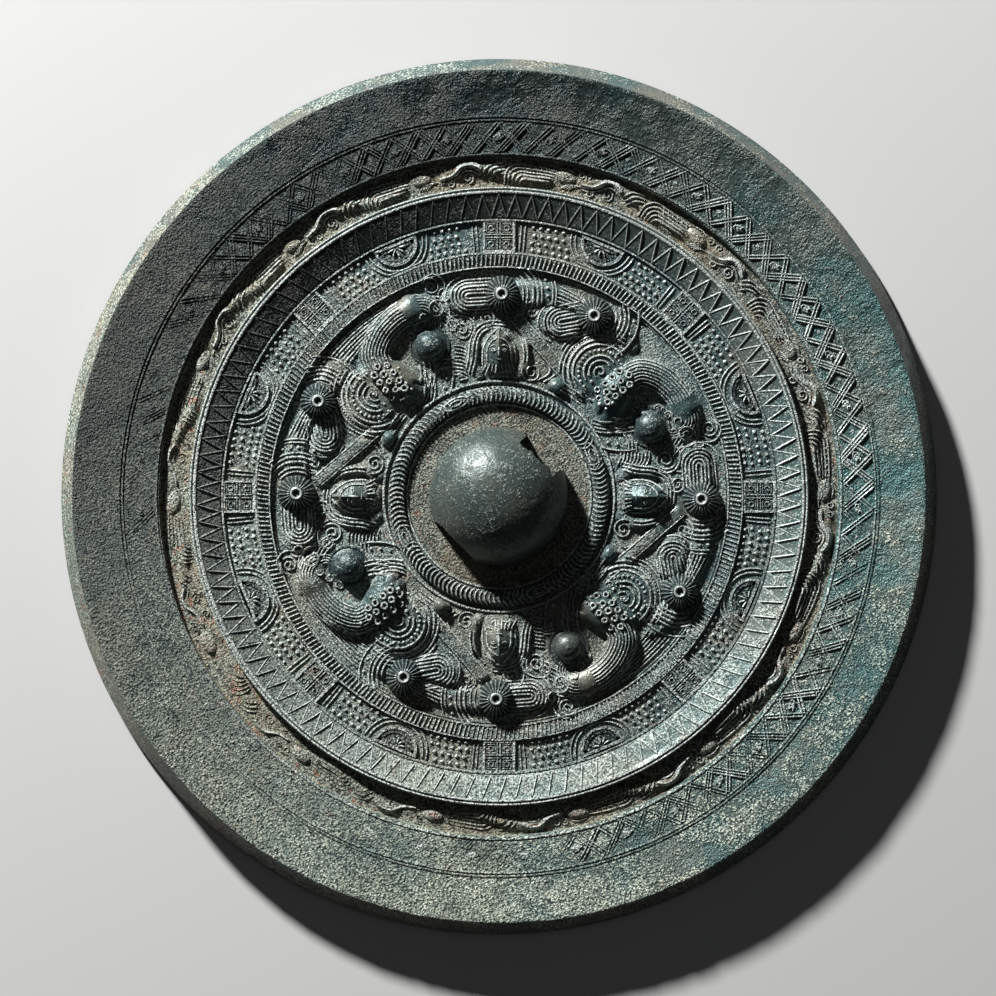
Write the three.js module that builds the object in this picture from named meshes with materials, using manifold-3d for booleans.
// A cast bronze mirror. It lies on its polished face with the decorated back up.
// Millimetres, +Z up. The cord hole of the knob runs along X.
// A bearing is in degrees, clockwise as seen from above, from the axis of the first seated figure.
import * as THREE from "three";
import { mergeVertices } from "three/addons/utils/BufferGeometryUtils.js";
import Module from "manifold-3d";

const wasm = await Module();
wasm.setup();

const firstAxis = 45; // degrees from +X to the first figure's axis, anticlockwise
const quarters = 4; // the main zone repeats this many times
const bodySides = 60;

// The polished face: slightly convex, with a flat spot that it rests on.
const faceRadius = 75;
const flatRadius = 30;
const faceRise = 0.9;
const edgeLip = 0.4;

// Each band of the back: inner and outer radius, and the height of its surface at both.
const rim = { inner: 65.1, outer: 72.8, low: 5.3, high: 6.6 };
const lozengeBand = { inner: 58.2, outer: 64.9, low: 5.0, high: 5.15 };
const pictureBand = { inner: 52.95, outer: 57.9, floor: 3.7 };
const ridgeCrest = { inner: 51.9, outer: 52.7, top: 5.35 };
const toothSlope = { inner: 47.5, low: 4.0 };
const squareBand = { inner: 41.8, outer: 47.3, floor: 3.6 };
const combBand = { inner: 39.1, outer: 41.6, low: 3.8, high: 4.2 };
const ground = 3.1; // of the main zone and the knob's seat
const mainZone = { inner: 20.0, outer: 38.9 };
const ropeRing = { radius: 17.5, halfWidth: 1.35, height: 1.2 };

// The knob is a flattened dome, and its cord hole is a low arch that goes right through.
const knob = { radius: 11.9, height: 10.5, sides: 30, steps: 6 };
const cordHole = { width: 9.2, side: 3.3, height: 4.9, floor: 0.3 };
// Above one mouth the lip of the dome has broken back to a ragged edge, seen from above.
const brokenLip = [[13, -4.5], [9.6, -4.1], [9.0, -2.6], [9.2, 0.2], [8.9, 2.6], [9.4, 4.1], [13, 4.5]];

const sink = 0.8; // how far a raised thing's foot goes into the body

const ringBoss = { bearings: [0.8, 27.8], radii: [34.6, 34.9], foot: 3.15, height: 3.1, sides: 12 };
const plainKnob = { bearing: 65.3, at: 28.4, radius: 3.0, height: 2.8, sides: 12 };
const smallCone = { bearing: 27.6, at: 21.2, radius: 1.4, height: 1.7, sides: 8 };
const slantBar = { from: [4.8, 31.1], to: [39, 22.6], width: 2.2, height: 0.6 };
const shoulder = { bearing: 38, at: 27.8, radius: 6.0, height: 1.1, sides: 12 };
const tongue = { spots: [[-9, 34.6], [19.2, 31.5]], length: 7.6, width: 5.4, height: 0.9, sides: 10 };
const square = { count: 8, size: 5.4, height: 0.7 };
const halfCircle = { count: 8, radius: 4.0, edgeGap: 0.6, height: 0.7, sides: 8 };
const lozenge = { count: 43, length: 3.0, width: 2.0, height: 0.5 };
const runner = { count: 14, length: 22, swing: 1.1, width: 1.7, height: 1.0 };

// Stations of the curling beast, from the muzzle to the tail: bearing, radius, half width, height.
const beast = [
  [53, 22.9, 1.5, 1.5],
  [50.5, 24.6, 2.9, 2.5],
  [48, 27.0, 3.3, 2.9],
  [47, 29.6, 2.7, 2.3],
  [49, 32.3, 2.7, 2.3],
  [54, 34.2, 2.6, 2.2],
  [59.5, 35.1, 2.3, 2.1],
  [65, 35.2, 2.7, 2.4],
  [69, 34.4, 2.2, 1.8],
  [71.5, 33.2, 1.1, 0.9],
];
// Stations of the seated figure, from its lap out to the point of its cap.
const figure = [
  [0, 21.0, 2.3, 0.9],
  [0, 22.6, 3.1, 2.0],
  [0, 24.8, 3.0, 3.0],
  [0, 26.8, 2.1, 2.7],
  [0, 28.8, 0.6, 0.9],
];
// The figure's feathered collar, a low arc on each side of it.
const collar = [
  [9, 20.9, 0.9, 0.7],
  [11.5, 23.5, 1.1, 0.9],
  [9.5, 26.4, 1.0, 0.8],
];
// The two low sleeves of lines that run clockwise from the ring bosses.
const sleeves = [
  [[6, 34.9, 2.3, 0.9], [13, 35.6, 2.0, 0.8], [24, 35.6, 1.2, 0.6]],
  [[34, 35.0, 2.2, 0.9], [38, 34.9, 2.2, 0.8], [41.5, 34.4, 1.4, 0.5]],
];

const radians = (degrees) => (degrees * Math.PI) / 180;

// The place on the back at a bearing and a radius.
function spot(bearing, radius) {
  const angle = radians(firstAxis - bearing);
  return [radius * Math.cos(angle), radius * Math.sin(angle)];
}

// A closed geometry as a solid, facing out.
function solid(geometry) {
  const bare = new THREE.BufferGeometry();
  const flat = geometry.index ? geometry.toNonIndexed() : geometry;
  bare.setAttribute("position", flat.getAttribute("position"));
  const merged = mergeVertices(bare, 1e-3);
  const faces = [];
  for (let i = 0; i < merged.index.count; i += 3) {
    const [a, b, c] = [0, 1, 2].map((k) => merged.index.getX(i + k));
    if (a !== b && b !== c && c !== a) faces.push([a, b, c]);
  }
  const made = (list) =>
    new wasm.Manifold(
      new wasm.Mesh({
        numProp: 3,
        vertProperties: new Float32Array(merged.attributes.position.array),
        triVerts: new Uint32Array(list.flat()),
      }),
    );
  const first = made(faces);
  return first.volume() > 0 ? first : made(faces.map(([a, b, c]) => [a, c, b]));
}

// A solid turned about +Z from a profile of [radius, height] points that starts and ends on the axis.
function turned(profile, sides, x = 0, y = 0) {
  const points = profile.map(([radius, height]) => new THREE.Vector2(radius, height));
  const geometry = new THREE.LatheGeometry(points, sides);
  geometry.rotateX(Math.PI / 2);
  geometry.translate(x, y, 0);
  return solid(geometry);
}

// The profile of a dome on a base height, with its foot sunk.
function domeProfile(radius, height, base, steps) {
  const profile = [[0, base - sink], [radius, base - sink]];
  for (let i = 0; i <= steps; i++) {
    const angle = (i / steps) * (Math.PI / 2);
    profile.push([i === steps ? 0 : radius * Math.cos(angle), base + height * Math.sin(angle)]);
  }
  return profile;
}

// A rounded ridge along stations of [x, y, half width, height] on a base height, with its foot sunk.
function ridge(stations, base) {
  const positions = [];
  const rings = stations.map(([x, y, half, height], i) => {
    const before = stations[Math.max(i - 1, 0)];
    const after = stations[Math.min(i + 1, stations.length - 1)];
    const along = new THREE.Vector2(after[0] - before[0], after[1] - before[1]).normalize();
    const at = (side, z) => [x - along.y * side, y + along.x * side, z];
    const ring = [at(-half, base - sink)];
    for (const turn of [35, 90, 145]) {
      ring.push(at(-half * Math.cos(radians(turn)), base + height * Math.sin(radians(turn))));
    }
    ring.push(at(half, base - sink));
    return ring;
  });
  const count = rings[0].length;
  for (let i = 0; i + 1 < rings.length; i++) {
    for (let k = 0; k < count; k++) {
      const [a, b] = [rings[i][k], rings[i][(k + 1) % count]];
      const [c, d] = [rings[i + 1][k], rings[i + 1][(k + 1) % count]];
      positions.push(...a, ...b, ...c, ...b, ...d, ...c);
    }
  }
  const last = rings[rings.length - 1];
  for (let k = 1; k + 1 < count; k++) {
    positions.push(...rings[0][0], ...rings[0][k + 1], ...rings[0][k]);
    positions.push(...last[0], ...last[k], ...last[k + 1]);
  }
  const geometry = new THREE.BufferGeometry();
  geometry.setAttribute("position", new THREE.Float32BufferAttribute(positions, 3));
  return solid(geometry);
}

// A ridge whose stations are given by bearing and radius, turned on by a bearing.
function ridgeAtBearing(stations, onward, base) {
  return ridge(
    stations.map(([bearing, radius, half, height]) => [...spot(bearing + onward, radius), half, height]),
    base,
  );
}

// A geometry made lying along the tangent at the origin, set at a bearing and a radius.
function setAt(geometry, bearing, radius) {
  const [x, y] = spot(bearing, radius);
  geometry.rotateZ(radians(firstAxis - bearing - 90));
  geometry.translate(x, y, 0);
  return solid(geometry);
}

function convexFace() {
  const steps = 3;
  const profile = [[0, 0]];
  for (let i = 0; i <= steps; i++) {
    const share = i / steps;
    profile.push([flatRadius + share * (faceRadius - flatRadius), faceRise * share * share]);
  }
  return profile;
}

function ropeProfile() {
  const steps = 4;
  const profile = [];
  for (let i = 0; i <= steps; i++) {
    const angle = (i / steps) * Math.PI;
    const height = ropeRing.height * Math.sin(angle);
    profile.push([ropeRing.radius + ropeRing.halfWidth * Math.cos(angle), ground + height]);
  }
  return profile;
}

function makeBody() {
  return turned(
    [
      ...convexFace(),
      [faceRadius, faceRise + edgeLip],
      [rim.outer, rim.high],
      [(rim.inner + rim.outer) / 2, (rim.low + rim.high) / 2 - 0.15],
      [rim.inner, rim.low],
      [lozengeBand.outer, lozengeBand.high],
      [lozengeBand.inner, lozengeBand.low],
      [pictureBand.outer, pictureBand.floor],
      [pictureBand.inner, pictureBand.floor],
      [ridgeCrest.outer, ridgeCrest.top],
      [ridgeCrest.inner, ridgeCrest.top],
      [toothSlope.inner, toothSlope.low],
      [squareBand.outer, squareBand.floor],
      [squareBand.inner, squareBand.floor],
      [combBand.outer, combBand.high],
      [combBand.inner, combBand.low],
      [mainZone.outer, ground],
      ...ropeProfile(),
      [0, ground],
    ],
    bodySides,
  );
}

function makeKnob() {
  const dome = turned(domeProfile(knob.radius, knob.height, ground, knob.steps), knob.sides);
  const arch = new THREE.Shape();
  arch.moveTo(-cordHole.width / 2, 0);
  arch.lineTo(cordHole.width / 2, 0);
  arch.lineTo(cordHole.width / 2, cordHole.side);
  arch.quadraticCurveTo(cordHole.width / 2, cordHole.height, 0, cordHole.height);
  arch.quadraticCurveTo(-cordHole.width / 2, cordHole.height, -cordHole.width / 2, cordHole.side);
  const depth = 2 * knob.radius + 4;
  const bore = new THREE.ExtrudeGeometry(arch, { depth, bevelEnabled: false, curveSegments: 4 });
  bore.translate(0, 0, -depth / 2);
  bore.rotateX(Math.PI / 2);
  bore.rotateZ(Math.PI / 2);
  bore.translate(0, 0, ground + cordHole.floor);
  const outline = new THREE.Shape(brokenLip.map(([x, y]) => new THREE.Vector2(x, y)));
  const lip = new THREE.ExtrudeGeometry(outline, { depth: knob.height, bevelEnabled: false });
  lip.translate(0, 0, ground + cordHole.floor);
  return dome.subtract(solid(bore)).subtract(solid(lip));
}

function makeRingBoss(bearing, radius) {
  const { foot, height, sides } = ringBoss;
  const profile = [
    [0, ground - sink],
    [foot, ground - sink],
    [foot, ground + 0.1 * height],
    [0.74 * foot, ground + 0.66 * height],
    [0.34 * foot, ground + height],
    [0.2 * foot, ground + height],
    [0, ground + 0.85 * height],
  ];
  return turned(profile, sides, ...spot(bearing, radius));
}

// A low swelling with its long way along the tangent.
function makeTongue(bearing, radius) {
  const { length, width, height, sides } = tongue;
  const points = domeProfile(1, height, ground, 2).map(([x, y]) => new THREE.Vector2(x, y));
  const geometry = new THREE.LatheGeometry(points, sides);
  geometry.rotateX(Math.PI / 2);
  geometry.scale(length / 2, width / 2, 1);
  return setAt(geometry, bearing, radius);
}

function makeBar(onward) {
  const [x1, y1] = spot(slantBar.from[0] + onward, slantBar.from[1]);
  const [x2, y2] = spot(slantBar.to[0] + onward, slantBar.to[1]);
  const length = Math.hypot(x2 - x1, y2 - y1);
  const geometry = new THREE.BoxGeometry(length, slantBar.width, slantBar.height + sink);
  geometry.rotateZ(Math.atan2(y2 - y1, x2 - x1));
  geometry.translate((x1 + x2) / 2, (y1 + y2) / 2, ground + (slantBar.height - sink) / 2);
  return solid(geometry);
}

// All that one quarter of the main zone holds.
function makeQuarter(onward) {
  const domes = [
    [plainKnob, 3],
    [shoulder, 2],
  ].map(([dome, steps]) =>
    turned(
      domeProfile(dome.radius, dome.height, ground, steps),
      dome.sides,
      ...spot(dome.bearing + onward, dome.at),
    ),
  );
  const cone = turned(
    [
      [0, ground - sink],
      [smallCone.radius, ground - sink],
      [smallCone.radius, ground + 0.2],
      [0, ground + smallCone.height],
    ],
    smallCone.sides,
    ...spot(smallCone.bearing + onward, smallCone.at),
  );
  const mirrored = collar.map(([bearing, ...rest]) => [-bearing, ...rest]);
  return [
    ...domes,
    cone,
    makeBar(onward),
    ...ringBoss.bearings.map((bearing, i) => makeRingBoss(bearing + onward, ringBoss.radii[i])),
    ...tongue.spots.map(([bearing, radius]) => makeTongue(bearing + onward, radius)),
    ...[beast, figure, collar, mirrored, ...sleeves].map((line) => ridgeAtBearing(line, onward, ground)),
  ];
}

// The raised squares, and between them half circles whose flat side faces out.
function makeSquareBand() {
  const raised = [];
  const middle = (squareBand.inner + squareBand.outer) / 2;
  for (let i = 0; i < square.count; i++) {
    const block = new THREE.BoxGeometry(square.size, square.size, square.height + sink);
    block.translate(0, 0, squareBand.floor + (square.height - sink) / 2);
    raised.push(setAt(block, (360 / square.count) * i, middle));
  }
  for (let i = 0; i < halfCircle.count; i++) {
    const shape = new THREE.Shape();
    shape.absarc(0, 0, halfCircle.radius, Math.PI, 2 * Math.PI);
    const depth = halfCircle.height + sink;
    const options = { depth, bevelEnabled: false, curveSegments: halfCircle.sides };
    const slab = new THREE.ExtrudeGeometry(shape, options);
    slab.translate(0, 0, squareBand.floor - sink);
    const bearing = (360 / halfCircle.count) * (i + 0.5);
    raised.push(setAt(slab, bearing, squareBand.outer - halfCircle.edgeGap));
  }
  return raised;
}

function makeLozenges() {
  const raised = [];
  const middle = (lozengeBand.inner + lozengeBand.outer) / 2;
  const base = (lozengeBand.low + lozengeBand.high) / 2;
  for (let i = 0; i < lozenge.count; i++) {
    const cone = new THREE.ConeGeometry(1, lozenge.height + sink, 4);
    cone.rotateX(Math.PI / 2);
    const grow = (lozenge.height + sink) / lozenge.height;
    cone.scale((grow * lozenge.length) / 2, (grow * lozenge.width) / 2, 1);
    cone.translate(0, 0, base + (lozenge.height - sink) / 2);
    raised.push(setAt(cone, (360 / lozenge.count) * i, middle));
  }
  return raised;
}

// The running beasts of the picture band: an S-shaped ridge each.
function makeRunners() {
  const raised = [];
  const steps = 5;
  const middle = (pictureBand.inner + pictureBand.outer) / 2;
  for (let i = 0; i < runner.count; i++) {
    const stations = [];
    for (let k = 0; k <= steps; k++) {
      const share = k / steps;
      const full = Math.sin(Math.PI * (0.12 + 0.76 * share));
      stations.push([
        (360 / runner.count) * i + (share - 0.5) * runner.length,
        middle + runner.swing * Math.sin(2 * Math.PI * share),
        (runner.width / 2) * full,
        runner.height * full,
      ]);
    }
    raised.push(ridgeAtBearing(stations, 0, pictureBand.floor));
  }
  return raised;
}

function makeMirror() {
  const raised = [makeKnob(), ...makeSquareBand(), ...makeLozenges(), ...makeRunners()];
  for (let i = 0; i < quarters; i++) raised.push(...makeQuarter((360 / quarters) * i));
  const whole = raised.reduce((sum, piece) => sum.add(piece), makeBody());
  const { vertProperties, triVerts } = whole.getMesh();
  const geometry = new THREE.BufferGeometry();
  geometry.setAttribute("position", new THREE.BufferAttribute(vertProperties, 3));
  geometry.setIndex(new THREE.BufferAttribute(triVerts, 1));
  const bronze = new THREE.MeshStandardMaterial({
    color: 0x46564e,
    roughness: 0.55,
    metalness: 0.6,
    flatShading: true,
  });
  const mesh = new THREE.Mesh(geometry, bronze);
  mesh.name = "mirror";
  return mesh;
}

const part = new THREE.Group();
part.add(makeMirror());
export default part;
